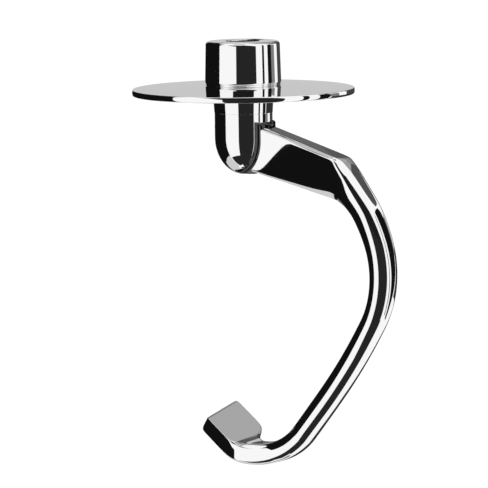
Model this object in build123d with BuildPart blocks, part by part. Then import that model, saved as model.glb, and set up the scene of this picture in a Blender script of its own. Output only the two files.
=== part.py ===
from build123d import *
import os
from math import cos, radians, sin, tan

# Dough hook of a planetary stand mixer, in polished stainless steel. Millimetres.
# The origin is the centre of the shaft socket's mouth, +Z points up along the shaft, the hook lies in
# the XZ plane and its bow stands on the +X side.

# ---- shaft and drive pin of the mixer, and the socket that takes them ----
shaft_diameter = 12.7
shaft_clearance = 0.05  # radial
socket_depth = 34.0
pin_diameter = 4.8
pin_clearance = 0.4  # added to the width of the slot
pin_reach = 10.3  # from the shaft's axis to the pin's end
pin_end_clearance = 0.45
pin_drop = 13.0  # from the socket's mouth to the lowest place of the pin's underside
pin_turn = 38.0  # degrees that the hook is turned to lock it
pin_lift = 1.6  # height of the notch that the pin springs into

# ---- collar, disc and ring ----
collar_top_radius = 14.0
collar_foot_radius = 14.45
collar_height = 16.5
collar_top_round = 1.2
collar_foot_round = 0.9
spigot_seat_depth = 9.0  # length of the spigot inside the stem
fit_clearance = 0.03  # radial, round the spigot
collar_weld_leg = 0.9
collar_weld_hollow = 1.2  # radius of the weld's concave face
disc_radius = 42.0
disc_thickness = 2.15
disc_dish = 1.3  # how much lower the rim lies than the middle
disc_flat_radius = 15.6  # flat seat in the middle
ring_top_step = 0.6  # how far the ring stands out past the stem, at its top
ring_foot_step = 0.1
ring_height = 8.2
ring_edge_break = 0.2

# ---- stem ----
stem_radius = 10.95
stem_wall = 2.15  # left round the spigot
stem_straight = 9.5  # length of the cylinder under the ring
stem_nose_length = 13.9
stem_edge_break = 0.15
seat_floor_clearance = 0.2  # under the spigot's end

# ---- arm: a flat bar that slopes down from the stem to the elbow ----
arm_slope = 15.3  # degrees below the horizontal, along its upper edge
arm_top_at_axis = -28.6  # height of the upper edge, carried on to the stem's axis
arm_underside_slope = 11.5
arm_underside_at_axis = -47.45
arm_underside_length = 34.0  # along X, to where the underside starts to curve down
arm_thickness = 8.5
arm_top_edge_round = 1.2
arm_underside_edge_round = 1.8
arm_weld_leg = 1.4
arm_weld_round = 1.1
on_axis = 0.01  # edges that start nearer to the axis than this belong to the bead's cut face

# ---- bow: its centre line is a run of tangent lines and arcs, from the elbow to the paddle ----
bow_start = (50.45, -51.8)
bow_slope = 48.6  # degrees below the horizontal, at the elbow
elbow_length = 15.0  # length of bar above the start, cut off level with the arm's upper edge
shoulder_radius, shoulder_turn = 58.8, 23.3
knee_radius, knee_turn = 37.6, 47.8
calf_radius, calf_turn = 222.0, 9.2
shin_length = 19.0
heel_radius, heel_turn = 25.5, 34.0
toe_radius, toe_turn = 24.0, 21.1
ball_radius, ball_turn = 15.1, 18.7
flare_radius, flare_turn = 15.1, 13.6  # where the bar spreads out to the paddle's width

# ---- bar sections: height in the hook's plane, depth across it, corner radius, shift to the near side ----
elbow_section = (10.4, 8.0, 3.6, 0.0)
shoulder_section = (9.5, 9.9, 4.3, 0.0)
knee_section = (8.9, 10.0, 4.2, 0.0)
shin_section = (9.0, 9.5, 4.2, 0.0)
heel_section = (8.6, 10.0, 3.9, 0.0)
toe_section = (8.0, 10.0, 3.7, 0.0)
ball_section = (8.1, 11.0, 3.5, 0.5)
ball_twist = 2.5  # degrees, the far edge turned inwards
flare_section = (8.0, 12.8, 3.0, 1.2)
flare_twist = 6.0

# ---- paddle: a flat plate ----
paddle_length = 15.6
paddle_width = 18.6
paddle_thickness = 7.3
paddle_twist = 10.5
paddle_end_slant = 7.0  # degrees, the far corner reaches further
paddle_corner_round = 1.8
paddle_edge_round = 1.5

# ---- worked out ----
bore_radius = shaft_diameter / 2 + shaft_clearance
spigot_radius = stem_radius - stem_wall
ring_top_radius = stem_radius + ring_top_step
ring_foot_radius = stem_radius + ring_foot_step
slot_width = pin_diameter + pin_clearance
slot_radius = pin_reach + pin_end_clearance
disc_top = -collar_height
disc_underside = disc_top - disc_thickness
ring_foot = disc_underside - ring_height
spigot_foot = ring_foot - spigot_seat_depth
nose_top = ring_foot - stem_straight

os.makedirs("parts", exist_ok=True)


def finish(piece, name):
    """Label a finished piece and write its STEP file."""
    piece.label = name
    export_step(piece, f"parts/{name}.step")


def height_on(start_height, slope, x):
    """Height at x of a line that falls from the axis at the given slope."""
    return start_height - x * tan(radians(slope))


# ---- socket collar: turned head and spigot, shaft bore, blind bayonet slot for the drive pin ----
slot_floor = -pin_drop
notch_top = slot_floor + slot_width + pin_lift

with BuildPart() as socket_collar:
    with BuildSketch(Plane.XZ) as collar_profile:
        with BuildLine():
            Polyline(
                (0, 0),
                (collar_top_radius, 0),
                (collar_foot_radius, -collar_height),
                (spigot_radius, -collar_height),
                (spigot_radius, spigot_foot),
                (0, spigot_foot),
                close=True,
            )
        make_face()
        fillet(collar_profile.vertices().sort_by(Axis.X)[-1], collar_foot_round)
        fillet(collar_profile.vertices().group_by(Axis.Y)[-1].sort_by(Axis.X)[-1], collar_top_round)
    revolve(axis=Axis.Z)
    with BuildSketch(Plane.XY):
        Circle(bore_radius)
    extrude(amount=-socket_depth, mode=Mode.SUBTRACT)
    # the channel that the pin slides down
    with BuildSketch(Plane.XY):
        with Locations((0, slot_radius / 2)):
            Rectangle(slot_width, slot_radius)
        Circle(slot_radius, mode=Mode.INTERSECT)
    extrude(amount=-pin_drop, mode=Mode.SUBTRACT)
    # the leg that the pin turns into, and the notch above its end
    with BuildSketch(Plane.XY.offset(slot_floor)):
        with BuildLine():
            Line((0, 0), (0, slot_radius))
            sweep_arc = CenterArc((0, 0), slot_radius, 90, -pin_turn)
            Line(sweep_arc @ 1, (0, 0))
        make_face()
        with Locations(Rotation(0, 0, -pin_turn)):
            with Locations((0, slot_radius / 2)):
                Rectangle(slot_width, slot_radius)
        Circle(slot_radius, mode=Mode.INTERSECT)
    extrude(amount=slot_width, mode=Mode.SUBTRACT)
    with BuildSketch(Plane.XY.offset(slot_floor)):
        with Locations(Rotation(0, 0, -pin_turn)):
            with Locations((0, slot_radius / 2)):
                Rectangle(slot_width, slot_radius)
        Circle(slot_radius, mode=Mode.INTERSECT)
    extrude(amount=notch_top - slot_floor, mode=Mode.SUBTRACT)
finish(socket_collar.part, "socket_collar")

# ---- guard disc: dished sheet with a flat seat and a rounded rim ----
with BuildPart() as guard_disc:
    with BuildSketch(Plane.XZ):
        with BuildLine():
            seat_radius = spigot_radius + fit_clearance
            rim_centre = disc_radius - disc_thickness / 2
            rim_top = (rim_centre, disc_top - disc_dish)
            rim_foot = (rim_centre, disc_underside - disc_dish)
            Polyline((seat_radius, disc_top), (disc_flat_radius, disc_top), rim_top)
            ThreePointArc(rim_top, (disc_radius, disc_top - disc_dish - disc_thickness / 2), rim_foot)
            Polyline(rim_foot, (disc_flat_radius, disc_underside), (seat_radius, disc_underside))
            Line((seat_radius, disc_underside), (seat_radius, disc_top))
        make_face()
    revolve(axis=Axis.Z)
finish(guard_disc.part, "guard_disc")

# ---- collar weld: concave fillet between the collar's foot and the disc ----
with BuildPart() as weld_blank:
    with BuildSketch(Plane.XZ):
        weld_inside = collar_foot_radius - collar_foot_round
        weld_outside = collar_foot_radius + collar_weld_leg
        weld_top = disc_top + collar_foot_round
        with BuildLine():
            Line((weld_inside, disc_top), (weld_outside, disc_top))
            RadiusArc((weld_outside, disc_top), (collar_foot_radius, weld_top), -collar_weld_hollow)
            Line((collar_foot_radius, weld_top), (weld_inside, weld_top))
            Line((weld_inside, weld_top), (weld_inside, disc_top))
        make_face()
    revolve(axis=Axis.Z)
    add(socket_collar.part, mode=Mode.SUBTRACT)
    add(guard_disc.part, mode=Mode.SUBTRACT)
finish(weld_blank.part, "collar_weld")

# ---- neck ring: short tapered sleeve under the disc ----
with BuildPart() as neck_ring:
    with BuildSketch(Plane.XZ):
        Polygon(
            (spigot_radius + fit_clearance, disc_underside),
            (ring_top_radius, disc_underside),
            (ring_foot_radius, ring_foot),
            (spigot_radius + fit_clearance, ring_foot),
            align=None,
        )
    revolve(axis=Axis.Z)
    chamfer(neck_ring.edges().filter_by(GeomType.CIRCLE).group_by(Axis.Z)[0].sort_by(SortBy.RADIUS)[-1],
            ring_edge_break)
finish(neck_ring.part, "neck_ring")

# ---- stem: cylinder with a bullet nose and a counterbore for the spigot ----
with BuildPart() as stem_blank:
    with BuildSketch(Plane.XZ):
        with BuildLine():
            Polyline((0, nose_top - stem_nose_length), (0, ring_foot), (stem_radius, ring_foot),
                     (stem_radius, nose_top))
            EllipticalCenterArc((0, nose_top), stem_radius, stem_nose_length, 0,
                                arc_size=-90)
        make_face()
    revolve(axis=Axis.Z)

with BuildPart() as hook_stem:
    add(stem_blank.part)
    with BuildSketch(Plane.XY.offset(ring_foot)):
        Circle(spigot_radius + fit_clearance)
    extrude(amount=-spigot_seat_depth - seat_floor_clearance, mode=Mode.SUBTRACT)
    chamfer(hook_stem.edges().filter_by(GeomType.CIRCLE).group_by(Axis.Z)[-1].sort_by(SortBy.RADIUS)[-1],
            stem_edge_break)
finish(hook_stem.part, "hook_stem")

# ---- hook arm: flat arm and elbow, bow and paddle, coped to the stem ----
with BuildLine(Plane.XZ) as centre_line:
    bow_heading = Vector(cos(radians(bow_slope)), 0, -sin(radians(bow_slope)))
    bow_origin = Vector(bow_start[0], 0, bow_start[1])
    elbow = Line(bow_origin - elbow_length * bow_heading, bow_origin)
    shoulder = JernArc(elbow @ 1, elbow % 1, shoulder_radius, -shoulder_turn)
    knee = JernArc(shoulder @ 1, shoulder % 1, knee_radius, -knee_turn)
    calf = JernArc(knee @ 1, knee % 1, calf_radius, -calf_turn)
    shin = Line(calf @ 1, (calf @ 1) + shin_length * (calf % 1))
    heel = JernArc(shin @ 1, shin % 1, heel_radius, -heel_turn)
    toe = JernArc(heel @ 1, heel % 1, toe_radius, -toe_turn)
    ball = JernArc(toe @ 1, toe % 1, ball_radius, -ball_turn)
    flare = JernArc(ball @ 1, ball % 1, flare_radius, -flare_turn)


def inward(heading):
    """Direction across the bar, in the hook's plane, towards the inside of the bow."""
    return Vector(0, 1, 0).cross(heading)


def across(origin, heading, twist):
    """A plane across the bar: its X axis points inwards, its Y axis to the far side."""
    return Plane(origin=origin, x_dir=inward(heading).rotate(Axis(origin, heading), -twist),
                 z_dir=heading)


paddle_section = (paddle_thickness, paddle_width, paddle_edge_round, 0.0)
# each run of the centre line, with its number of steps, and the section and twist at its start
runs = [
    (elbow, 2, elbow_section, 0),
    (shoulder, 3, shoulder_section, 0),
    (knee, 3, knee_section, 0),
    (calf, 2, knee_section, 0),
    (shin, 3, shin_section, 0),
    (heel, 3, heel_section, 0),
    (toe, 2, toe_section, 0),
    (ball, 2, ball_section, ball_twist),
    (flare, 4, flare_section, flare_twist),
    (None, 0, paddle_section, paddle_twist),
]

cut_size = 3 * disc_radius  # larger than what it cuts away
with BuildPart() as bar:
    for (run, steps, section, twist), (_, _, next_section, next_twist) in zip(runs, runs[1:]):
        for step in range(steps + (run is flare)):
            share = step / steps
            blend = share * share * (3 - 2 * share)
            height, depth, corner, shift = [a + (b - a) * blend for a, b in zip(section, next_section)]
            with BuildSketch(across(run @ share, run % share, twist + (next_twist - twist) * blend)):
                with Locations((0, -shift)):
                    RectangleRounded(height, depth, corner)
    loft()
    # cut level with the arm's upper edge
    with BuildSketch(Plane.XZ):
        with Locations(Location((0, arm_top_at_axis), -arm_slope)):
            Rectangle(cut_size, cut_size, align=(Align.MIN, Align.MIN))
    extrude(amount=cut_size, both=True, mode=Mode.SUBTRACT)
    cut_face = bar.faces().filter_by(GeomType.PLANE).filter_by(lambda face: face.normal_at().Z > 0.9)
    fillet(cut_face.edges().sort_by(Axis.X)[1:], arm_top_edge_round)  # all but the one inside the arm

# ---- paddle: plate with a slanted end, its rim rounded, on the end of the bar ----
root = across(flare @ 1, flare % 1, paddle_twist)
plate_plane = Plane(origin=root.origin, x_dir=root.z_dir, z_dir=-root.x_dir)  # its Y axis to the far side
slant_reach = paddle_width / 2 * tan(radians(paddle_end_slant))
with BuildPart() as paddle:
    with BuildSketch(plate_plane) as plate_outline:
        Polygon(
            (0, -paddle_width / 2),
            (paddle_length - slant_reach, -paddle_width / 2),
            (paddle_length + slant_reach, paddle_width / 2),
            (0, paddle_width / 2),
            align=None,
        )
        fillet(plate_outline.vertices().sort_by(Axis.X)[2:], paddle_corner_round)
    extrude(amount=paddle_thickness / 2, both=True)
    root_face = paddle.faces().sort_by_distance(root.origin)[0]
    broad_faces = paddle.faces().sort_by(SortBy.AREA)[-2:]
    fillet(broad_faces.edges() - root_face.edges(), paddle_edge_round)

# ---- arm: flat slab from the stem's axis to the middle of the elbow, its long edges rounded ----
elbow_x = (bow_start[1] - arm_top_at_axis + bow_start[0] * tan(radians(bow_slope))) / (
    tan(radians(bow_slope)) - tan(radians(arm_slope)))
elbow_top = height_on(arm_top_at_axis, arm_slope, elbow_x)
underside_end = height_on(arm_underside_at_axis, arm_underside_slope, arm_underside_length)
merge_share = 0.75  # of the shoulder arc, where the arm's underside has run into the bar
merge_point = (shoulder @ merge_share) + shoulder_section[0] / 4 * inward(shoulder % merge_share)
merge_heading = shoulder % merge_share
crest = shoulder @ (merge_share / 2)
with BuildPart() as arm_slab:
    with BuildSketch(Plane.XZ):
        with BuildLine():
            Polyline((0, arm_underside_at_axis), (0, arm_top_at_axis), (elbow_x, elbow_top), bow_start,
                     (crest.X, crest.Z), (merge_point.X, merge_point.Z))
            underside = Line((0, arm_underside_at_axis), (arm_underside_length, underside_end))
            Spline(underside @ 1, (merge_point.X, merge_point.Z),
                   tangents=(underside % 1, (merge_heading.X, merge_heading.Z)))
        make_face()
    extrude(amount=arm_thickness / 2, both=True)
    top_face = arm_slab.faces().sort_by(Axis.Z)[-1]
    fillet(top_face.edges().filter_by(Axis.Y, reverse=True), arm_top_edge_round)
    underside_face = arm_slab.faces().filter_by(
        lambda face: face.normal_at().Z < -0.9).sort_by(Axis.X)[0]
    fillet(underside_face.edges().filter_by(Axis.Y, reverse=True), arm_underside_edge_round)

with BuildPart() as hook_arm:
    add(arm_slab.part)
    add(bar.part)
    add(paddle.part)
    add(stem_blank.part, mode=Mode.SUBTRACT)
finish(hook_arm.part, "hook_arm")

# ---- arm weld: bead round the arm's root, over the stem and the arm alike ----
weld_reach = stem_radius + arm_weld_leg
with BuildPart() as arm_weld:
    with BuildSketch(Plane.XZ):
        Polygon(
            (0, arm_underside_at_axis - arm_weld_leg),
            (0, arm_top_at_axis + arm_weld_leg),
            (weld_reach, height_on(arm_top_at_axis, arm_slope, weld_reach) + arm_weld_leg),
            (weld_reach, height_on(arm_underside_at_axis, arm_underside_slope, weld_reach) - arm_weld_leg),
            align=None,
        )
    extrude(amount=arm_thickness / 2 + arm_weld_leg, both=True)
    with BuildSketch(Plane.XZ):
        with BuildLine():
            Polyline((0, nose_top - stem_nose_length - arm_weld_leg), (0, ring_foot), (weld_reach, ring_foot),
                     (weld_reach, nose_top))
            EllipticalCenterArc((0, nose_top), weld_reach, stem_nose_length + arm_weld_leg, 0, arc_size=-90)
        make_face()
    revolve(axis=Axis.Z, mode=Mode.INTERSECT)
    bead_rim = arm_weld.edges().filter_by(lambda edge: min((edge @ 0).X, (edge @ 1).X) > on_axis)
    rim_room = min(vertex.X for vertex in bead_rim.vertices())  # inwards of the rim's lowest corners
    fillet(bead_rim.filter_by(GeomType.CIRCLE, reverse=True), min(arm_weld_round, rim_room / 2))
    add(arm_slab.part, mode=Mode.SUBTRACT)
    add(stem_blank.part, mode=Mode.SUBTRACT)
finish(arm_weld.part, "arm_weld")
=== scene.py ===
import math

import bmesh
import bpy
from bpy.props import FloatProperty, FloatVectorProperty, PointerProperty
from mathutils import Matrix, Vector


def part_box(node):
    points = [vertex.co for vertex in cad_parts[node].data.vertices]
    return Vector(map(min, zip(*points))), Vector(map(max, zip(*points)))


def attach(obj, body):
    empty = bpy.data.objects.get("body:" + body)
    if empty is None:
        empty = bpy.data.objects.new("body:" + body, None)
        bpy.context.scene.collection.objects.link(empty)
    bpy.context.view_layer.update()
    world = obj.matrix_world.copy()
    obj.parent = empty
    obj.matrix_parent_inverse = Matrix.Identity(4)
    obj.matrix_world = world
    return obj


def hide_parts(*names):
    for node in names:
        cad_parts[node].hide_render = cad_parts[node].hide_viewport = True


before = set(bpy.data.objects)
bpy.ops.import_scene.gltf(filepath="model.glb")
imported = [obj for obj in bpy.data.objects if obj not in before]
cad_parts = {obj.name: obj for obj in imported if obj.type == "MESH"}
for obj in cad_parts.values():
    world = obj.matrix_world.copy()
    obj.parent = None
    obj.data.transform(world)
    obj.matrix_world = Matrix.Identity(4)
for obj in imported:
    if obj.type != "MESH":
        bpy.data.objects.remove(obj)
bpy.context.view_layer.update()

bl_info = {
    "name": "Dough hook",
    "version": (1, 0, 0),
    "blender": (4, 5, 0),
    "location": "3D View > Sidebar > Dough hook",
    "description": "Models a polished stainless-steel dough hook for a stand mixer, piece by piece",
    "category": "Add Mesh",
}

MM = 0.001
# the camera's side: degrees from the front, -Y, towards the bow's side, +X
VIEW_BEARING = 38
COLLAR_LOW, COLLAR_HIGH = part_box("socket_collar")
DISC_LOW, DISC_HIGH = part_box("guard_disc")
RING_LOW, RING_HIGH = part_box("neck_ring")
STEM_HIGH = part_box("hook_stem")[1]
# the collar's spigot sits in a hole of this radius in the disc, the ring and the stem
SEAT_RADIUS = 8.83 * MM
# outline points nearer than this are at one place
TOUCH = 0.01 * MM


def srgb(hex_colour):
    """The red, green and blue of a hex colour, each from 0 to 1."""
    return tuple(int(hex_colour[i:i + 2], 16) / 255 for i in (1, 3, 5))


def linear(hex_colour):
    """Turns an sRGB hex colour into the linear values that shaders use."""
    return tuple(v / 12.92 if v <= 0.04045 else ((v + 0.055) / 1.055) ** 2.4
                 for v in srgb(hex_colour)) + (1.0,)


def linear_of(colour):
    """The linear values of a colour picked in the sidebar."""
    return linear("#" + "".join(f"{round(v * 255):02x}" for v in colour))


class HookSizes(bpy.types.PropertyGroup):
    """Sizes of the turned pieces, the bar and the paddle."""

    collar_radius: FloatProperty(
        name="Collar radius", description="Radius at the collar's foot",
        default=COLLAR_HIGH.x, unit="LENGTH")
    collar_height: FloatProperty(
        name="Collar height", description="From the guard disc to the collar's top face",
        default=-DISC_HIGH.z, unit="LENGTH")
    bore_radius: FloatProperty(
        name="Bore radius", description="Radius of the socket for the mixer's shaft",
        default=6.4 * MM, unit="LENGTH")
    disc_radius: FloatProperty(
        name="Disc radius", description="Radius of the guard disc",
        default=DISC_HIGH.x, unit="LENGTH")
    disc_thickness: FloatProperty(
        name="Disc thickness", description="Thickness of the guard disc's sheet",
        default=2.15 * MM, unit="LENGTH")
    ring_radius: FloatProperty(
        name="Neck ring radius", description="Radius at the top of the neck ring",
        default=RING_HIGH.x, unit="LENGTH")
    stem_radius: FloatProperty(
        name="Stem radius", description="Radius of the stem above its nose",
        default=STEM_HIGH.x, unit="LENGTH")
    arm_thickness: FloatProperty(
        name="Arm thickness", description="Thickness of the flat arm",
        default=8.5 * MM, unit="LENGTH")
    paddle_width: FloatProperty(
        name="Paddle width", description="Width of the flat paddle at the end of the bow",
        default=18.6 * MM, unit="LENGTH")
    paddle_thickness: FloatProperty(
        name="Paddle thickness", description="Thickness of the paddle",
        default=7.3 * MM, unit="LENGTH")


class HookColours(bpy.types.PropertyGroup):
    """Colours and polish of the steel, and the shade of the studio's floor."""

    steel: FloatVectorProperty(
        name="Steel", description="Colour of the polished stainless steel",
        subtype="COLOR_GAMMA", default=srgb("#f7f7f8"), min=0, max=1)
    # painted shade: the weld's dark grey stands for the shade in the concave fillet at the arm's root
    weld: FloatVectorProperty(
        name="Weld", description="Colour of the weld at the arm's root, painted dark grey for the shade in its fillet",
        subtype="COLOR_GAMMA", default=srgb("#4d4c4b"), min=0, max=1)
    polish: FloatProperty(
        name="Polish", description="Roughness of the mirror polish",
        default=0.02, min=0, max=1, subtype="FACTOR")
    floor: FloatVectorProperty(
        name="Floor", description="Colour of the studio floor",
        subtype="COLOR_GAMMA", default=srgb("#ededed"), min=0, max=1)


# ---- materials -------------------------------------------------------------

# the polish that each way of working leaves: the size of the haze's patches, the roughness that they
# add, and the length and height of the waves; sizes are in millimetres

# buffed as it turns on the lathe: long straight reflections, with hardly a wave in them
TURNED_POLISH = {"haze_mm": 7, "haze_reach": 0.01, "wave_mm": 22, "wave_height_mm": 0.004}
# pressed from sheet and buffed: wide calm reflections that sway a little
SHEET_POLISH = {"haze_mm": 9, "haze_reach": 0.015, "wave_mm": 14, "wave_height_mm": 0.010}
# forged, ground and buffed by hand: reflections that sway slowly along the bar
FORGED_POLISH = {"haze_mm": 11, "haze_reach": 0.015, "wave_mm": 26, "wave_height_mm": 0.012}
# ground with a small wheel: short waves and a duller shine
WELD_POLISH = {"haze_mm": 2, "haze_reach": 0.06, "wave_mm": 3, "wave_height_mm": 0.02}


def node(tree, kind, settings=None, links=None):
    """Adds a shader node, sets its fields and sockets, and links its inputs by name or number."""
    made = tree.nodes.new(kind)
    for key, value in (settings or {}).items():
        if hasattr(made, key):
            setattr(made, key, value)
        else:
            made.inputs[key].default_value = value
    for key, source in (links or {}).items():
        tree.links.new(source, made.inputs[key])
    return made


def new_material(name):
    """A material with an empty node tree, and that tree."""
    material = bpy.data.materials.new(name)
    material.use_nodes = True
    tree = material.node_tree
    tree.nodes.clear()
    return material, tree


def polished_steel(name, colours, haze_mm, haze_reach, wave_mm, wave_height_mm, colour=None):
    """Mirror-polished stainless steel: clean hard reflections, broken only by a slow waviness left
    by the polishing wheel and by faint patches of haze."""
    material, tree = new_material(name)
    place = node(tree, "ShaderNodeTexCoord").outputs["Object"]
    haze = node(tree, "ShaderNodeTexNoise", {"Scale": 1 / (haze_mm * MM), "Detail": 3.0},
                {"Vector": place})
    spread = node(tree, "ShaderNodeMapRange",
                  {"To Min": colours.polish, "To Max": colours.polish + haze_reach},
                  {"Value": haze.outputs["Fac"]})
    waves = node(tree, "ShaderNodeTexNoise", {"Scale": 1 / (wave_mm * MM), "Detail": 1.0},
                 {"Vector": place})
    relief = node(tree, "ShaderNodeBump", {"Strength": 1.0, "Distance": wave_height_mm * MM},
                  {"Height": waves.outputs["Fac"]})
    steel = node(tree, "ShaderNodeBsdfPrincipled",
                 {"Base Color": linear_of(colour or colours.steel), "Metallic": 1.0},
                 {"Roughness": spread.outputs["Result"], "Normal": relief.outputs["Normal"]})
    node(tree, "ShaderNodeOutputMaterial", links={"Surface": steel.outputs["BSDF"]})
    return material


def bare_steel(name):
    """Reamed stainless steel inside the socket: not polished, so it is duller and shows tool rings."""
    material, tree = new_material(name)
    place = node(tree, "ShaderNodeTexCoord").outputs["Object"]
    # real feed marks are 0.1 mm apart; a wave texture's bands are tau / 20 / scale apart, so these
    # are drawn 2.5 mm apart, where they show
    rings = node(tree, "ShaderNodeTexWave",
                 {"wave_type": "BANDS", "bands_direction": "Z", "Scale": 125.0, "Distortion": 0.6},
                 {"Vector": place})
    relief = node(tree, "ShaderNodeBump", {"Strength": 0.6, "Distance": 0.01 * MM},
                  {"Height": rings.outputs["Fac"]})
    steel = node(tree, "ShaderNodeBsdfPrincipled",
                 {"Base Color": linear("#c9c8c5"), "Metallic": 1.0, "Roughness": 0.28},
                 {"Normal": relief.outputs["Normal"]})
    node(tree, "ShaderNodeOutputMaterial", links={"Surface": steel.outputs["BSDF"]})
    return material


# ---- modelling -------------------------------------------------------------


def start_piece(name):
    """Starts a piece as one vertex at the origin, selected, in edit mode."""
    bpy.ops.object.select_all(action="DESELECT")
    bpy.ops.mesh.primitive_plane_add(size=1, location=(0, 0, 0))
    piece = bpy.context.object
    piece.name = name
    piece.data.name = name
    bpy.ops.object.mode_set(mode="EDIT")
    bpy.ops.mesh.select_mode(type="VERT")
    bpy.ops.mesh.select_all(action="SELECT")
    bpy.ops.mesh.merge(type="CENTER")
    return piece


def select_where(piece, rule):
    """Selects the vertices whose place fits the rule, and what lies between them."""
    bpy.ops.mesh.select_all(action="DESELECT")
    mesh = bmesh.from_edit_mesh(piece.data)
    for vertex in mesh.verts:
        vertex.select = rule(vertex.co)
    mesh.select_flush(True)
    bmesh.update_edit_mesh(piece.data)


def turn_selected(degrees, axis):
    """Turns what is selected round an axis through the origin, clockwise seen from the axis's tip."""
    bpy.ops.transform.rotate(value=math.radians(degrees), orient_axis=axis,
                             center_override=(0, 0, 0))


def draw_outline(points):
    """Draws a line through (radius, height) points, from the one vertex of a new piece."""
    place = Vector((points[0][0], 0, points[0][1]))
    bpy.ops.transform.translate(value=place)
    for radius, height in points[1:]:
        step = Vector((radius, 0, height)) - place
        bpy.ops.mesh.extrude_region_move(TRANSFORM_OT_translate={"value": step})
        place = Vector((radius, 0, height))


def arc(centre, radii, start, end, steps):
    """Points (radius, height) on an arc or ellipse, angles in degrees from the horizontal."""
    angles = [math.radians(start + (end - start) * i / steps) for i in range(steps + 1)]
    return [(centre[0] + radii[0] * math.cos(a), centre[1] + radii[1] * math.sin(a))
            for a in angles]


def round_corner(piece, point, size, segments):
    """Rounds the outline's corner at (radius, height)."""
    corner = Vector((point[0], 0, point[1]))
    select_where(piece, lambda co: (co - corner).length < TOUCH)
    bpy.ops.mesh.bevel(offset=size, segments=segments, affect="VERTICES", profile=0.5)


def spin_outline(steps):
    """Spins the outline being drawn round the Z axis into a closed shape with its faces outwards."""
    bpy.ops.mesh.select_all(action="SELECT")
    bpy.ops.mesh.spin(steps=steps, angle=math.tau, center=(0, 0, 0), axis=(0, 0, 1))
    bpy.ops.mesh.select_all(action="SELECT")
    bpy.ops.mesh.remove_doubles(threshold=0.002 * MM)
    bpy.ops.mesh.normals_make_consistent(inside=False)


def apply_modifier(piece, kind, **settings):
    """Adds a modifier with its settings and applies it."""
    modifier = piece.modifiers.new(kind.title(), kind)
    for key, value in settings.items():
        setattr(modifier, key, value)
    bpy.context.view_layer.objects.active = piece
    bpy.ops.object.modifier_apply(modifier=modifier.name)


def finish_piece(piece, material, slot, *nodes, sharp=35, smooth=False):
    """Shades a piece, gives it its material, and lets it stand for its CAD node. Edges that turn
    by more than sharp degrees stay crisp."""
    if bpy.context.mode != "OBJECT":
        bpy.ops.object.mode_set(mode="OBJECT")
    bpy.ops.object.select_all(action="DESELECT")
    piece.select_set(True)
    bpy.context.view_layer.objects.active = piece
    if smooth:
        bpy.ops.object.shade_smooth()
    else:
        bpy.ops.object.shade_smooth_by_angle(angle=math.radians(sharp))
        apply_modifier(piece, "WEIGHTED_NORMAL", keep_sharp=True, weight=80)
    if not piece.data.materials:
        piece.data.materials.append(material)
    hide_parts(*nodes)
    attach(piece, "root")


# ---- the turned pieces and the disc ----------------------------------------


class HOOK_OT_socket_collar(bpy.types.Operator):
    """Socket collar: turned head with a shaft bore and a bayonet slot for the drive pin"""

    bl_idname = "hook.socket_collar"
    bl_label = "Socket collar"

    BORE_DEPTH = 34 * MM
    SPIGOT_RADIUS = 8.8 * MM
    # how much narrower the collar is at its top than at its foot
    TAPER = 0.45 * MM
    # the drive pin's slot: its width, how far its cuts reach from the axis, and its floor's height
    SLOT_WIDTH, SLOT_REACH, SLOT_FLOOR = 5.2 * MM, 10.75 * MM, -13 * MM
    # the channel that the pin slides down, the leg that it turns along and the notch that it locks
    # in: each cut's turn round the axis, in degrees clockwise from above, and its height above the
    # slot's floor
    SLOT_CUTS = ((0.0, 15 * MM), (12.7, SLOT_WIDTH), (25.3, SLOT_WIDTH), (38.0, 6.8 * MM))
    # the bore and the slot are left as reamed: all that is deeper than the bore's rounded lip and
    # further inwards than the top face's polished ring
    LIP_HEIGHT, RING_WIDTH = 0.4 * MM, 3 * MM

    def execute(self, context):
        sizes = context.scene.hook_sizes
        colours = context.scene.hook_colours
        foot = -sizes.collar_height
        top_radius = sizes.collar_radius - self.TAPER
        bore, depth = sizes.bore_radius, -self.BORE_DEPTH
        piece = start_piece("socket_collar_polished")
        draw_outline([(0, depth), (bore, depth), (bore, 0), (top_radius, 0),
                      (sizes.collar_radius, foot), (self.SPIGOT_RADIUS, foot),
                      (self.SPIGOT_RADIUS, COLLAR_LOW.z), (0, COLLAR_LOW.z)])
        for corner, size, segments in (((top_radius, 0), 1.25 * MM, 8),
                                       ((sizes.collar_radius, foot), 1.5 * MM, 8),
                                       ((bore, 0), 0.35 * MM, 3)):
            round_corner(piece, corner, size, segments)
        spin_outline(steps=192)
        bpy.ops.object.mode_set(mode="OBJECT")
        self.cut_slot(piece)
        material = polished_steel("Turned and mirror-polished stainless steel", colours,
                                  **TURNED_POLISH)
        piece.data.materials.append(material)
        piece.data.materials.append(bare_steel("Reamed stainless steel"))
        for face in piece.data.polygons:
            inside = math.hypot(face.center.x, face.center.y) < top_radius - self.RING_WIDTH
            if inside and face.center.z < -self.LIP_HEIGHT:
                face.material_index = 1
        finish_piece(piece, material, "turned_steel", "socket_collar")
        return {"FINISHED"}

    def cut_slot(self, collar):
        """Cuts the bayonet slot, one block at a time."""
        for turn, height in self.SLOT_CUTS:
            cutter = start_piece("slot_cutter")
            bpy.ops.transform.translate(value=(-self.SLOT_WIDTH / 2, 0, self.SLOT_FLOOR))
            for step in ((self.SLOT_WIDTH, 0, 0), (0, self.SLOT_REACH, 0), (0, 0, height)):
                bpy.ops.mesh.select_all(action="SELECT")
                bpy.ops.mesh.extrude_region_move(TRANSFORM_OT_translate={"value": step})
            bpy.ops.mesh.select_all(action="SELECT")
            if turn:
                turn_selected(turn, "Z")
            bpy.ops.mesh.normals_make_consistent(inside=False)
            bpy.ops.object.mode_set(mode="OBJECT")
            apply_modifier(collar, "BOOLEAN", operation="DIFFERENCE", solver="EXACT", object=cutter)
            bpy.data.objects.remove(cutter)


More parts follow.
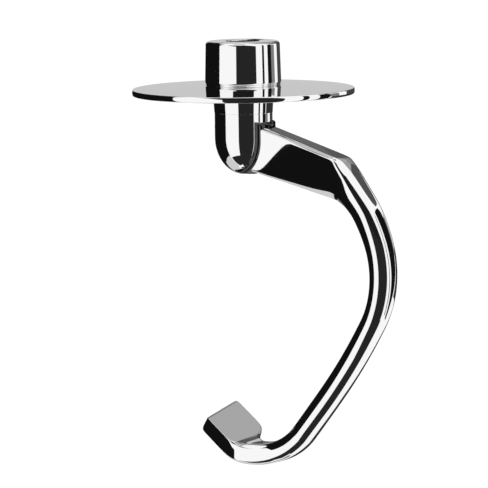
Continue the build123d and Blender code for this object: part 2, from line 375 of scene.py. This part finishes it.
class HOOK_OT_guard_disc(bpy.types.Operator):
    """Guard disc: dished sheet with a flat seat and a nearly flat edge"""

    bl_idname = "hook.guard_disc"
    bl_label = "Guard disc"

    FLAT_RADIUS = 15.6 * MM
    # how far the edge bulges, and how far it stays inside the disc's radius
    BULGE, INSET = 0.28 * MM, 0.02 * MM
    # the edge's arc ends 2 degrees short of the sheet's two faces
    EDGE_TURN = 88
    # where the dish's slope has its points, as shares of its length
    SLOPE_SHARES = (0.04, 0.5, 0.96)

    def execute(self, context):
        sizes = context.scene.hook_sizes
        top, foot = DISC_HIGH.z, DISC_LOW.z
        half = sizes.disc_thickness / 2
        flat = self.FLAT_RADIUS
        rim = (sizes.disc_radius - self.INSET - self.BULGE, foot + half)
        dish = top - half - rim[1]
        slope = [(flat + (rim[0] - flat) * share, top - dish * share)
                 for share in self.SLOPE_SHARES]
        edge = arc(rim, (self.BULGE, half), self.EDGE_TURN, -self.EDGE_TURN, steps=16)
        piece = start_piece("guard_disc_polished")
        draw_outline([(SEAT_RADIUS, top), (flat, top)] + slope + edge
                     + [(flat, top - 2 * half), (SEAT_RADIUS, top - 2 * half), (SEAT_RADIUS, top)])
        spin_outline(steps=256)
        material = polished_steel("Mirror-polished stainless sheet", context.scene.hook_colours,
                                  **SHEET_POLISH)
        finish_piece(piece, material, "sheet_steel", "guard_disc")
        return {"FINISHED"}


class HOOK_OT_neck_ring(bpy.types.Operator):
    """Neck ring: short tapered sleeve between the disc and the stem"""

    bl_idname = "hook.neck_ring"
    bl_label = "Neck ring"

    # how much narrower the ring is at its foot than at its top
    TAPER = 0.5 * MM
    FOOT_ROUND = 0.06 * MM

    def execute(self, context):
        radius = context.scene.hook_sizes.ring_radius
        foot = (radius - self.TAPER, RING_LOW.z)
        piece = start_piece("neck_ring_polished")
        draw_outline([(SEAT_RADIUS, RING_HIGH.z), (radius, RING_HIGH.z), foot,
                      (SEAT_RADIUS, RING_LOW.z), (SEAT_RADIUS, RING_HIGH.z)])
        round_corner(piece, foot, self.FOOT_ROUND, segments=3)
        spin_outline(steps=160)
        material = polished_steel("Polished neck ring steel", context.scene.hook_colours,
                                  **TURNED_POLISH)
        finish_piece(piece, material, "turned_steel", "neck_ring")
        return {"FINISHED"}


class HOOK_OT_hook_stem(bpy.types.Operator):
    """Stem: cylinder with a bullet nose"""

    bl_idname = "hook.hook_stem"
    bl_label = "Stem"

    # lengths of the straight part and of the nose, and the depth of the spigot's seat
    STRAIGHT, NOSE, SEAT_DEPTH = 9.5 * MM, 13.9 * MM, 9.2 * MM
    TOP_ROUND = 0.05 * MM

    def execute(self, context):
        radius, top = context.scene.hook_sizes.stem_radius, STEM_HIGH.z
        seat_floor = top - self.SEAT_DEPTH
        nose = arc((0, top - self.STRAIGHT), (radius, self.NOSE), 0, -90, steps=32)
        piece = start_piece("hook_stem_polished")
        draw_outline([(0, seat_floor), (SEAT_RADIUS, seat_floor), (SEAT_RADIUS, top), (radius, top)]
                     + nose)
        round_corner(piece, (radius, top), self.TOP_ROUND, segments=3)
        spin_outline(steps=192)
        material = polished_steel("Polished stem steel", context.scene.hook_colours,
                                  **TURNED_POLISH)
        finish_piece(piece, material, "turned_steel", "hook_stem", sharp=40)
        return {"FINISHED"}


# ---- the hook's bar --------------------------------------------------------

# profiles of a rounded corner: 0.5 is an arc and 0.25 a straight chamfer
ROUND, SOFT, CHAMFER = 0.5, 0.4, 0.28
CORNER_SEGMENTS = 6
# what tells a section's edge from the rest of it, in millimetres
HAIR = 0.001
# flat arm and elbow: place on the upper edge and place on the lower edge, in millimetres in the hook's
# plane, how much the near face swells out, twist, the radii of the upper far corner, of both lower
# corners and of the upper near corner, and that corner's profile; the lower corners are chamfers
# that widen from the stem to the elbow
ARM_SECTIONS = (
    ((4.0, -29.69), (2.5, -47.96), 0.8, 0.0, 1.2, 1.0, 1.8, ROUND),
    ((15.0, -32.70), (5.0, -48.47), 0.25, 0.0, 1.2, 1.0, 1.8, ROUND),
    ((22.5, -34.75), (9.0, -49.28), 0.0, 0.0, 1.2, 1.1, 1.8, ROUND),
    ((28.5, -36.40), (15.0, -50.60), 0.2, 0.0, 1.2, 1.2, 1.8, ROUND),
    ((34.5, -38.04), (24.0, -52.45), 0.55, 0.0, 1.2, 1.6, 1.8, ROUND),
    ((40.0, -39.54), (33.0, -54.60), 0.9, 0.0, 1.3, 2.2, 1.6, ROUND),
    ((44.0, -40.64), (37.5, -55.68), 1.12, 0.0, 1.5, 2.7, 1.5, ROUND),
    ((46.2, -41.25), (41.0, -56.50), 1.27, -0.5, 1.7, 3.2, 1.7, ROUND),
    ((47.6, -41.75), (43.2, -57.05), 1.38, -1.5, 1.9, 3.6, 2.9, SOFT),
    ((49.0, -42.95), (45.2, -57.80), 1.47, -3.0, 2.2, 3.8, 3.4, SOFT),
    ((50.8, -44.70), (47.3, -59.00), 1.56, -4.5, 2.4, 3.6, 3.7, SOFT),
    ((52.6, -46.80), (49.7, -60.40), 1.62, -5.5, 2.6, 3.0, 3.9, SOFT),
)
# the bow's centre line in the hook's plane, in millimetres and degrees: where it starts at the elbow,
# how steeply it falls there, and its runs as (length, 0) for a straight or (radius, turn) for an arc,
# with the number of steps in each
BOW_START, BOW_SLOPE = (50.45, -51.8), 48.6
BOW_RUNS = {
    "shoulder": (58.8, 23.3, 7), "knee": (37.6, 47.8, 12), "calf": (222.0, 9.2, 4),
    "shin": (19.0, 0.0, 2), "heel": (25.5, 34.0, 9), "toe": (24.0, 21.1, 5),
    "ball": (15.1, 18.7, 3), "flare": (15.1, 13.6, 3),
}
# the elbow's own sections reach this share of the shoulder
ELBOW_SHARE = 0.42
# section at the start of each run: height in the hook's plane, depth across it, corner radius, how far
# it stands to the near side, its twist in degrees, and the radius and profile of the near corner
# outside the bow, which is a broad soft facet between the elbow and the calf
BOW_SECTIONS = {
    "shoulder": (9.5, 9.9, 2.4, 0.6, -6.5, 3.6, 0.42),
    "knee": (8.86, 10.0, 3.0, 0.2, -6.0, 3.9, 0.42),
    "calf": (8.86, 10.0, 4.2, 0.0, -1.0, 4.6, 0.45),
    "shin": (9.0, 9.5, 4.2, 0.0, 0.0, 4.2, ROUND),
    "heel": (8.6, 10.0, 3.9, 0.0, 0.0, 3.9, ROUND),
    "toe": (7.9, 10.6, 3.7, 0.6, 0.0, 2.6, ROUND),
    "ball": (7.85, 12.0, 3.4, 2.2, 2.5, 1.8, ROUND),
    "flare": (7.8, 14.2, 2.8, 2.1, 6.5, 1.4, ROUND),
}
# the straight paddle goes on where the bow ends; the rest of its section, after thickness and width
PADDLE_LENGTH = 15.6
PADDLE_SECTION = (1.5, 0.0, 10.5, 1.2, ROUND)
# the paddle's edge towards the bow's inside is crisper than the one outside
PADDLE_INSIDE = 0.15
# where the paddle has its sections, as shares of its length, and how they slant, in degrees
PADDLE_SLANTS = ((0.05, 0.0), (0.35, 2.0), (0.7, 5.0))
END_SLANT = 7.0
# how the paddle's section shrinks towards its rounded end: distance from the end, and millimetres
# less width and less thickness
END_ROUND = ((1.8, 0.0, 0.0), (1.0, 0.38, 0.17), (0.45, 1.2, 0.86), (0.12, 2.3, 1.8), (0.0, 3.6, 3.2))


def step_along(place, angle, size, turn, share=1.0):
    """The place and heading after a share of a straight of that size, or of an arc of that radius
    and turn."""
    if not turn:
        return place + share * size * Vector((math.cos(angle), math.sin(angle))), angle
    after = angle - math.radians(turn * share)
    centre = place + size * Vector((math.sin(angle), -math.cos(angle)))
    return centre - size * Vector((math.sin(after), -math.cos(after))), after


def walk_bow():
    """The place and heading at the start of each of the bow's runs and of the paddle."""
    place, angle = Vector(BOW_START), -math.radians(BOW_SLOPE)
    ways = {}
    for name, (size, turn, _) in BOW_RUNS.items():
        ways[name] = (place.copy(), angle)
        place, angle = step_along(place, angle, size, turn)
    ways["paddle"] = (place, angle)
    return ways


def arm_sections(thickness):
    """Sections of the flat arm and the elbow."""
    for upper, lower, swell, twist, *corners, near_profile in ARM_SECTIONS:
        upper, lower = Vector(upper), Vector(lower)
        yield dict(centre=(upper + lower) / 2, inward=(lower - upper).normalized(),
                   height=(lower - upper).length, depth=thickness + swell, corners=corners,
                   shift=swell / 2, twist=twist, near_profile=near_profile, inside_profile=CHAMFER)


def bow_sections(ways, paddle):
    """Sections of the bow, from the elbow to where the paddle starts."""
    names = [*BOW_RUNS, "paddle"]
    for name, after in zip(names, names[1:]):
        size, turn, steps = BOW_RUNS[name]
        begin, end = BOW_SECTIONS[name], BOW_SECTIONS.get(after, paddle)
        for step in range(steps):
            share = step / steps
            if name == "shoulder" and share < ELBOW_SHARE:
                continue
            height, depth, corner, shift, twist, near, near_profile = [
                a + (b - a) * share for a, b in zip(begin, end)]
            place, angle = step_along(*ways[name], size, turn, share)
            yield dict(centre=place, inward=(math.sin(angle), -math.cos(angle)), height=height,
                       depth=depth, corners=(corner, corner, near), shift=shift, twist=twist,
                       near_profile=near_profile)


def paddle_sections(way, paddle):
    """Sections of the flat paddle, down to its rounded end."""
    place, angle = way
    heading = Vector((math.cos(angle), math.sin(angle)))
    thickness, width, corner, _, twist, near, _ = paddle
    shared = dict(inward=(math.sin(angle), -math.cos(angle)), corners=(corner, PADDLE_INSIDE, near),
                  twist=twist)
    for share, slant in PADDLE_SLANTS:
        yield dict(centre=place + share * PADDLE_LENGTH * heading, height=thickness, depth=width,
                   slant=slant, **shared)
    for back, narrower, thinner in END_ROUND:
        yield dict(centre=place + (PADDLE_LENGTH - back) * heading, height=thickness - thinner,
                   depth=width - narrower, slant=END_SLANT, **shared)


def is_new(co):
    """True for the section that is being shaped, which lies above all that are laid."""
    return co.z > -MM


def lay_section(piece, number, centre, inward, height, depth, corners, shift=0.0, twist=0.0,
                slant=0.0, near_profile=ROUND, inside_profile=ROUND):
    """Adds a rounded rectangle across the bar: height lies inwards in the hook's plane, depth across
    it. All are in millimetres and degrees; corners are the radii of the far corner outside the bow,
    of both corners inside it and of the near corner outside it. Shift moves the section to the near
    side, twist turns its far edge inwards, and slant turns that edge forwards along the bar. It is
    shaped at the origin, above every other section, and then moved."""
    bpy.ops.mesh.select_all(action="DESELECT")
    bpy.ops.mesh.primitive_plane_add(size=1, location=(0, 0, 0))
    bpy.ops.transform.resize(value=(height * MM, depth * MM, 1), center_override=(0, 0, 0))
    outside, inside, near = corners
    edge = (height / 2 - HAIR) * MM
    near_edge = (HAIR - depth / 2) * MM
    for rule, corner, profile in (
            (lambda co: co.x < -edge and co.y > 0, outside, ROUND),
            (lambda co: co.x > edge, inside, inside_profile),
            (lambda co: co.x < -edge and co.y < near_edge, near, near_profile)):
        select_where(piece, lambda co: is_new(co) and rule(co))
        bpy.ops.mesh.bevel(offset=corner * MM, segments=CORNER_SEGMENTS, affect="VERTICES",
                           profile=profile)
    select_where(piece, is_new)
    bpy.ops.mesh.delete(type="ONLY_FACE")
    select_where(piece, is_new)
    if shift:
        bpy.ops.transform.translate(value=(0, -shift * MM, 0))
    lean = -math.degrees(math.atan2(-inward[1], inward[0]))
    for angle, axis in ((twist, "Z"), (-slant, "X"), (lean, "Y")):
        if angle:
            turn_selected(angle, axis)
    bpy.ops.transform.translate(value=(centre[0] * MM, 0, centre[1] * MM))
    mark_section(piece, number)


def mark_section(piece, number):
    """Marks the selected vertices as the section of that number."""
    mesh = bmesh.from_edit_mesh(piece.data)
    marks = mesh.verts.layers.int.get("section") or mesh.verts.layers.int.new("section")
    for vertex in mesh.verts:
        if vertex.select:
            vertex[marks] = number


def select_sections(piece, *numbers):
    """Selects the outlines of those sections, and nothing between them."""
    bpy.ops.mesh.select_all(action="DESELECT")
    mesh = bmesh.from_edit_mesh(piece.data)
    marks = mesh.verts.layers.int["section"]
    for vertex in mesh.verts:
        vertex.select = vertex[marks] in numbers
    for edge in mesh.edges:
        first, second = [vertex[marks] for vertex in edge.verts]
        edge.select = first == second and first in numbers
    bmesh.update_edit_mesh(piece.data)


def bridge_sections(piece, count):
    """Bridges each section to the next, and closes both ends."""
    for i in range(count - 1):
        select_sections(piece, i, i + 1)
        bpy.ops.mesh.bridge_edge_loops()
    for i in (0, count - 1):
        select_sections(piece, i)
        bpy.ops.mesh.edge_face_add()
    bpy.ops.mesh.select_all(action="SELECT")
    bpy.ops.mesh.normals_make_consistent(inside=False)


class HOOK_OT_hook_arm(bpy.types.Operator):
    """Hook arm: flat arm, elbow, C-shaped bow and flat paddle, forged from one bar"""

    bl_idname = "hook.hook_arm"
    bl_label = "Arm, bow and paddle"

    def execute(self, context):
        sizes = context.scene.hook_sizes
        paddle = (sizes.paddle_thickness / MM, sizes.paddle_width / MM) + PADDLE_SECTION
        ways = walk_bow()
        sections = (list(arm_sections(sizes.arm_thickness / MM)) + list(bow_sections(ways, paddle))
                    + list(paddle_sections(ways["paddle"], paddle)))
        piece = start_piece("hook_arm_polished")
        bpy.ops.mesh.delete(type="VERT")
        for number, section in enumerate(sections):
            lay_section(piece, number, **section)
        bridge_sections(piece, len(sections))
        bpy.ops.object.mode_set(mode="OBJECT")
        apply_modifier(piece, "SUBSURF", levels=2, render_levels=2)
        material = polished_steel("Forged and mirror-polished stainless steel",
                                  context.scene.hook_colours, **FORGED_POLISH)
        finish_piece(piece, material, "forged_steel", "hook_arm", smooth=True)
        return {"FINISHED"}


# ---- the welds -------------------------------------------------------------


class HOOK_OT_welds(bpy.types.Operator):
    """Welds: concave fillets at the collar's foot and round the arm's root"""

    bl_idname = "hook.welds"
    bl_label = "Welds"

    # the bead at the collar's foot: how far it lies under the collar, how far it runs out on the
    # disc, how high it climbs, and how thick it is at its outer edge
    UNDER, LEG, CLIMB, TOE = 0.9 * MM, 0.3 * MM, 0.6 * MM, 0.02 * MM
    # its hollow face is nearly a quarter of an ellipse with these radii
    HOLLOW = (LEG + 0.35 * MM, 0.55 * MM)

    def execute(self, context):
        colours = context.scene.hook_colours
        self.lay_collar_weld(context.scene.hook_sizes, colours)
        # the arm's weld keeps its CAD shape; its dark grey is painted shade, standing for the shade in
        # the concave fillet at the arm's root
        arm_weld = bpy.data.objects["arm_weld"]
        arm_weld.data.materials.clear()
        arm_weld.data.materials.append(polished_steel("Ground weld painted dark for the shade in its fillet", colours,
                                                      colour=colours.weld, **WELD_POLISH))
        return {"FINISHED"}

    def lay_collar_weld(self, sizes, colours):
        """Lays the bead in the corner between the collar and the disc."""
        foot = -sizes.collar_height
        inside, outside = sizes.collar_radius - self.UNDER, sizes.collar_radius + self.LEG
        bead = start_piece("collar_weld_polished")
        draw_outline([(inside, foot), (outside, foot + self.TOE)]
                     + arc((outside, foot + self.CLIMB), self.HOLLOW, 262, 180, steps=8)
                     + [(inside, foot + self.CLIMB), (inside, foot)])
        spin_outline(steps=192)
        material = polished_steel("Ground and polished weld", colours, **WELD_POLISH)
        finish_piece(bead, material, "weld_steel", "collar_weld", sharp=50)


# ---- the studio ------------------------------------------------------------

# how far round each facet of a curved card goes, in degrees
CARD_FACET = 4


def card(name, left, right, low, high, shade, lean=0.0, reach=0.3):
    """A curved card that stands round the hook, seen only in reflections. Its sides are bearings in
    degrees from the camera's side, to the right of it; low and high are heights in metres, lean is
    how far its foot stands to the right of its top, in degrees, and reach is how far it stands from
    the axis."""
    piece = start_piece(name)
    draw_outline([(reach, low), (reach, high)])
    if lean:
        select_where(piece, lambda co: co.z < low + MM)
        turn_selected(-lean, "Z")
    bpy.ops.mesh.select_all(action="SELECT")
    # bearings count from the front, -Y, and the outline was drawn on +X
    turn_selected(90 - VIEW_BEARING - left, "Z")
    facets = max(2, round((right - left) / CARD_FACET))
    bpy.ops.mesh.spin(steps=facets, angle=-math.radians(right - left), center=(0, 0, 0),
                      axis=(0, 0, 1))
    bpy.ops.object.mode_set(mode="OBJECT")
    material, tree = new_material(name)
    glow = node(tree, "ShaderNodeEmission", {"Color": linear(shade), "Strength": 1.0})
    node(tree, "ShaderNodeOutputMaterial", links={"Surface": glow.outputs["Emission"]})
    piece.data.materials.append(material)
    piece.visible_camera = False
    piece.visible_diffuse = False
    piece.visible_shadow = False


class HOOK_OT_stage(bpy.types.Operator):
    """Studio: pale floor, soft light, dark and grey cards for the steel to mirror, and the camera"""

    bl_idname = "hook.stage"
    bl_label = "Studio"

    # bearings of the left and right sides, heights of the foot and the top, shade, lean and reach
    CARDS = (
        ("card_black_left", -125, -75.5, -0.85, 1.2, "#111111", 0, 1.0),
        ("card_black_left_far", -165, -125, -0.78, 1.2, "#111111", 0, 1.0),
        ("card_pale_left_far_low", -165, -125, -3.6, -0.78, "#d2d2d2", 0, 1.0),
        ("card_pale_left_low", -125, -75.5, -3.6, -0.85, "#d2d2d2", 0, 1.0),
        ("card_pale_left_back_low", -180, -165, -3.6, -0.56, "#d2d2d2", 0, 1.0),
        ("card_pale_back", 165, 195, -0.06, 0.07, "#c9c9c9"),
        ("card_grey_back_low", 165, 195, -0.2, -0.06, "#6a6a6a"),
        ("card_grey_back_high", 165, 195, 0.07, 0.35, "#5a5a5a"),
        ("card_black_front", -20, 40, -0.34, 0.0, "#262626"),
        ("card_black_front_low", -70, 45, -1.5, -0.34, "#262626"),
        ("card_black_below", -20, 40, -8.0, -1.5, "#262626"),
        ("card_black_below_back", 150, 210, -8.0, -0.9, "#262626"),
        ("card_black_front_high", -55, 8, 0.0, 0.2, "#1c1c1c", 32),
        ("card_black_front_top", -45, 12, 0.4, 0.9, "#1c1c1c"),
        ("card_black_thin", 60, 67, -0.3, 0.1, "#161616"),
        ("card_black_right", 80, 95, -0.3, 0.1, "#141414"),
        ("card_grey_right", 95, 110, -0.06, 0.05, "#808080"),
        ("card_dark_right", 126, 165, -0.06, 0.08, "#444444"),
        ("card_dark_right_low", 98, 165, -0.19, -0.06, "#303030"),
        ("card_dark_low_back", 128, 180, -0.4, -0.2, "#303030"),
        ("card_grey_high", 95, 122, 0.11, 0.2, "#505050"),
        ("card_dark_high", 122, 165, 0.08, 0.15, "#585858"),
        ("card_grey_high_low", 122, 165, 0.15, 0.18, "#707070"),
        ("card_grey_high_mid", 122, 165, 0.18, 0.21, "#8c8c8c"),
        ("card_pale_high", 122, 165, 0.21, 0.9, "#ababab"),
        ("card_pale_high_right", 95, 122, 0.2, 0.9, "#a0a0a0"),
    )
    FLOOR_SIZE, FLOOR_HEIGHT = 24, -0.25
    # how far the camera stands from the axis, and its height
    CAMERA_REACH, CAMERA_HEIGHT = 1.1, 0.073
    # the point that it looks at, half way down the axis, in millimetres, and how far it is rolled, in
    # degrees
    CAMERA_TARGET, CAMERA_ROLL = (-0.6, 0, -77.1), -0.75
    # its lens and sensor, in millimetres
    LENS, SENSOR = 216, 36

    def execute(self, context):
        scene = context.scene
        scene.view_settings.view_transform = "Standard"
        self.light(scene)
        self.lay_floor(scene)
        for values in self.CARDS:
            card(*values)
        self.aim_camera(scene)
        return {"FINISHED"}

    def light(self, scene):
        """Fills the studio with even white light."""
        world = bpy.data.worlds.new("Studio air")
        world.use_nodes = True
        tree = world.node_tree
        tree.nodes.clear()
        glow = node(tree, "ShaderNodeBackground", {"Color": linear("#ffffff"), "Strength": 1.0})
        node(tree, "ShaderNodeOutputWorld", links={"Surface": glow.outputs["Background"]})
        scene.world = world

    def lay_floor(self, scene):
        """Lays a pale painted floor, lifted to white wherever it is seen."""
        bpy.ops.object.select_all(action="DESELECT")
        bpy.ops.mesh.primitive_grid_add(x_subdivisions=8, y_subdivisions=8, size=self.FLOOR_SIZE,
                                        location=(0, 0, self.FLOOR_HEIGHT))
        floor = bpy.context.object
        floor.name = "studio_floor"
        material, tree = new_material("Pale studio floor")
        paint = node(tree, "ShaderNodeBsdfDiffuse", {"Color": linear_of(scene.hook_colours.floor)})
        lift = node(tree, "ShaderNodeEmission", {"Color": linear("#ffffff"), "Strength": 0.2})
        path = node(tree, "ShaderNodeLightPath").outputs
        mirrored = node(tree, "ShaderNodeMath", {"operation": "MAXIMUM"},
                        {0: path["Is Glossy Ray"], 1: path["Is Transmission Ray"]})
        in_view = node(tree, "ShaderNodeMath", {"operation": "MAXIMUM"},
                       {0: path["Is Camera Ray"], 1: mirrored.outputs[0]})
        none = node(tree, "ShaderNodeEmission", {"Color": linear("#000000"), "Strength": 0.0})
        seen = node(tree, "ShaderNodeMixShader",
                    links={0: in_view.outputs[0], 1: none.outputs[0], 2: lift.outputs[0]})
        both = node(tree, "ShaderNodeAddShader", links={0: paint.outputs[0], 1: seen.outputs[0]})
        node(tree, "ShaderNodeOutputMaterial", links={"Surface": both.outputs[0]})
        floor.data.materials.append(material)
        # the steel mirrors the cards and the white air below it, not the floor
        floor.visible_glossy = False

    def aim_camera(self, scene):
        """Sets up the camera on its bearing, far off, with a long lens."""
        bearing = math.radians(VIEW_BEARING)
        place = (self.CAMERA_REACH * math.sin(bearing), -self.CAMERA_REACH * math.cos(bearing),
                 self.CAMERA_HEIGHT)
        bpy.ops.object.camera_add(location=place)
        camera = bpy.context.object
        look = Vector(self.CAMERA_TARGET) * MM - camera.location
        camera.rotation_euler = look.to_track_quat("-Z", "Y").to_euler()
        camera.rotation_euler.rotate_axis("Z", math.radians(self.CAMERA_ROLL))
        camera.data.lens = self.LENS
        camera.data.sensor_width = self.SENSOR
        camera.data.clip_start, camera.data.clip_end = 0.05, 60
        scene.camera = camera


OPERATORS = (
    HOOK_OT_socket_collar, HOOK_OT_guard_disc, HOOK_OT_neck_ring, HOOK_OT_hook_stem,
    HOOK_OT_hook_arm, HOOK_OT_welds, HOOK_OT_stage,
)


class HOOK_PT_panel(bpy.types.Panel):
    """Lists the hook's sizes and colours, and a button for each piece"""

    bl_idname = "HOOK_PT_panel"
    bl_label = "Dough hook"
    bl_space_type = "VIEW_3D"
    bl_region_type = "UI"
    bl_category = "Dough hook"

    def draw(self, context):
        layout = self.layout
        for group in (context.scene.hook_sizes, context.scene.hook_colours):
            column = layout.column()
            for name in group.__annotations__:
                column.prop(group, name)
        for operator in OPERATORS:
            layout.operator(operator.bl_idname)


CLASSES = (HookSizes, HookColours) + OPERATORS + (HOOK_PT_panel,)


def register():
    for kind in CLASSES:
        bpy.utils.register_class(kind)
    bpy.types.Scene.hook_sizes = PointerProperty(type=HookSizes)
    bpy.types.Scene.hook_colours = PointerProperty(type=HookColours)


def unregister():
    del bpy.types.Scene.hook_sizes
    del bpy.types.Scene.hook_colours
    for kind in reversed(CLASSES):
        bpy.utils.unregister_class(kind)


def main():
    register()
    for operator in OPERATORS:
        group, name = operator.bl_idname.split(".")
        getattr(getattr(bpy.ops, group), name)()


if __name__ == "__main__":
    main()
